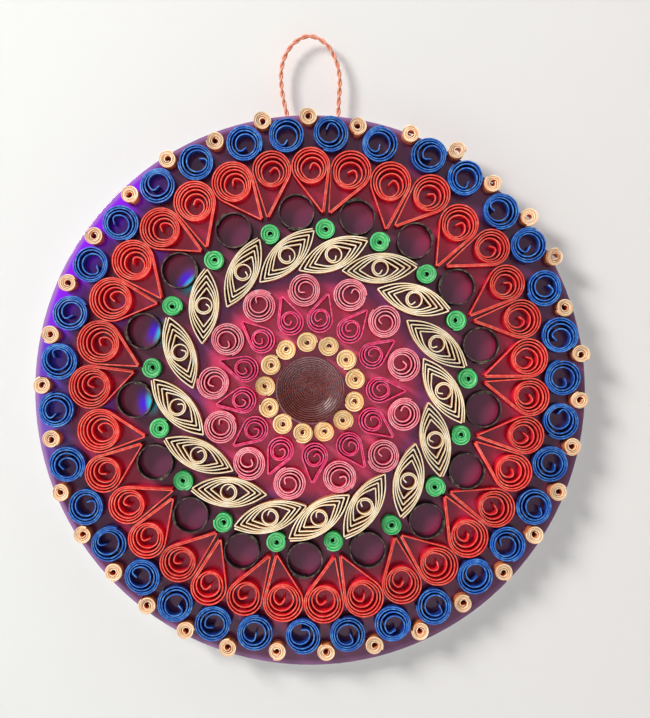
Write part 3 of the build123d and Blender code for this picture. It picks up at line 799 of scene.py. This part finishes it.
ridges = wire(finishing, "ShaderNodeMath", {0: ridges, 1: 0.5}, operation="SUBTRACT")
rise = wire(
    finishing, "ShaderNodeMath", {0: ridges, 1: given["Ridge"], 2: rise},
    operation="MULTIPLY_ADD",
)
at_edge = wire(
    finishing, "FunctionNodeCompare",
    {
        "A": wire(finishing, "ShaderNodeSeparateXYZ", {0: position}, out="Y"),
        "B": given["Edge Y"],
    },
    data_type="FLOAT", operation="LESS_THAN",
)
moved = wire(
    finishing, "GeometryNodeSetPosition",
    {
        "Geometry": joined, "Selection": at_edge,
        "Offset": wire(finishing, "ShaderNodeCombineXYZ", {1: rise}),
    },
)
tone = wire(
    finishing, "FunctionNodeRandomValue",
    {"Min": 0.0, "Max": 1.0, "ID": island, "Seed": given["Seed"]}, out="Value",
    data_type="FLOAT",
)
toned = wire(
    finishing, "GeometryNodeStoreNamedAttribute",
    {"Geometry": moved, "Name": "tone", "Value": tone}, data_type="FLOAT", domain="POINT",
)
toned = wire(
    finishing, "GeometryNodeStoreNamedAttribute",
    {"Geometry": toned, "Name": "middle", "Value": middle}, data_type="FLOAT_VECTOR",
    domain="POINT",
)
plain = wire(finishing, "GeometryNodeRealizeInstances", {0: toned})
papered = wire(
    finishing, "GeometryNodeSetMaterial", {"Geometry": plain, "Material": given["Material"]}
)
wire(finishing, "NodeGroupOutput", {0: papered})
front_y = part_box("black_rings")[0].y
edge_slack = 0.0002


def hand_wound(name, node_start, material, seed, unevenness=0.0003, wave_length=0.004,
               tilt=0.04, dish=0.0, dish_radius=0.002, ridge=0.0002, ridge_width=0.0003):
    """All the CAD coils of one kind as one paper piece, with the edges as fingers leave them."""
    nodes = sorted(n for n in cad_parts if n.startswith(node_start))
    strips = bmesh.new()
    for node in nodes:
        strips.from_mesh(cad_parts[node].data)
    mesh = bpy.data.meshes.new(name)
    strips.to_mesh(mesh)
    strips.free()
    piece = through(
        finishing, mesh, name,
        **{
            "Edge Y": front_y + edge_slack, "Unevenness": unevenness,
            "Wave Length": wave_length, "Tilt": tilt, "Dish": dish,
            "Dish Radius": dish_radius, "Ridge": ridge, "Ridge Width": ridge_width,
            "Seed": seed, "Material": material,
        },
    )
    piece.data.shade_smooth()
    piece.data.set_sharp_from_angle(angle=crease)
    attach(piece, "root")
    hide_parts(*nodes)
    return piece


gold_paper = paper(
    "gold_paper", (238, 154, 84), (255, 222, 156), (208, 116, 62), (255, 240, 196), gap_shade=0.75,
)
hand_wound(
    "gold_coils", "gold_coils", gold_paper, 1, dish=0.0006, dish_radius=0.0021,
    tilt=0.06, ridge=0.0009, ridge_width=0.00032,
)


# The magenta teardrops: thirteen strips wound loose and pinched to a tip that points outwards,
# glued on edge behind the gold ring.
magenta_paper = paper(
    "magenta_paper", (236, 24, 86), (232, 56, 112), (204, 14, 64), (252, 136, 172)
)
hand_wound("magenta_teardrops", "magenta_drops", magenta_paper, 2)


# The pink coils: thirteen loose coils of salmon-pink paper with pale cut edges, one between each
# two magenta tips.
pink_paper = paper("pink_paper", (226, 66, 104), (244, 124, 142), (186, 34, 74), (255, 206, 206))
hand_wound("pink_coils", "pink_coils", pink_paper, 3)


# The marquises: seventeen strips of cream paper wound loose and pinched at both ends, glued in a
# slanting ring round the pinks.
cream_paper = paper(
    "cream_paper", (218, 162, 108), (246, 222, 178), (150, 84, 62), (255, 250, 234), wear_and_highlight=0.8
)
hand_wound("marquises", "marquise", cream_paper, 4, unevenness=0.0004)


# The green coils: seventeen strips of green paper wound tight, one beside the outer tip of each
# marquise.
green_paper = paper(
    "green_paper", (26, 138, 70), (84, 210, 122), (14, 96, 50), (152, 234, 162), gap_shade=0.7,
)
hand_wound(
    "green_coils", "green_coils", green_paper, 5, dish=0.0006,
    dish_radius=0.0021, tilt=0.06, ridge=0.0009, ridge_width=0.00032,
)


# The black rings: one turn of glossy black paper each, seventeen of them between the greens,
# with grey flecks at the cut edge, partly wear and partly painted highlight.
black_paper = paper(
    "black_paper", (10, 8, 10), (50, 43, 40), (6, 4, 6), (150, 134, 112), wear_and_highlight=0.6,
    specular=0.3,
)
hand_wound("black_rings", "black_rings", black_paper, 6, unevenness=0.0005)


# The hearts: thirty-four red teardrops wound loose, pinched to a tip, and glued in pairs with
# their tips inwards.
red_paper = paper("red_paper", (234, 28, 44), (236, 72, 62), (214, 18, 58), (252, 146, 120))
hand_wound("red_hearts", "heart", red_paper, 7, unevenness=0.0004)


# The blue coils: thirty-four loose coils of pearly royal-blue paper, one behind each notch
# between two red round ends.
blue_paper = paper(
    "blue_paper", (14, 60, 150), (18, 92, 188), (12, 36, 106), (104, 178, 236), wear_and_highlight=0.6,
    specular=0.6,
)
hand_wound("blue_coils", "blue_coils", blue_paper, 8, unevenness=0.0005, tilt=0.06)


# The rim coils: thirty-four small coils of peach paper at the very edge, one behind each notch
# between two blues.
peach_paper = paper(
    "peach_paper", (240, 148, 88), (255, 222, 176), (206, 92, 60), (255, 242, 214), gap_shade=0.5,
)
hand_wound(
    "rim_coils", "rim_coils", peach_paper, 9, dish=0.0004, dish_radius=0.0017,
    tilt=0.14, ridge=0.0008, ridge_width=0.00032,
)
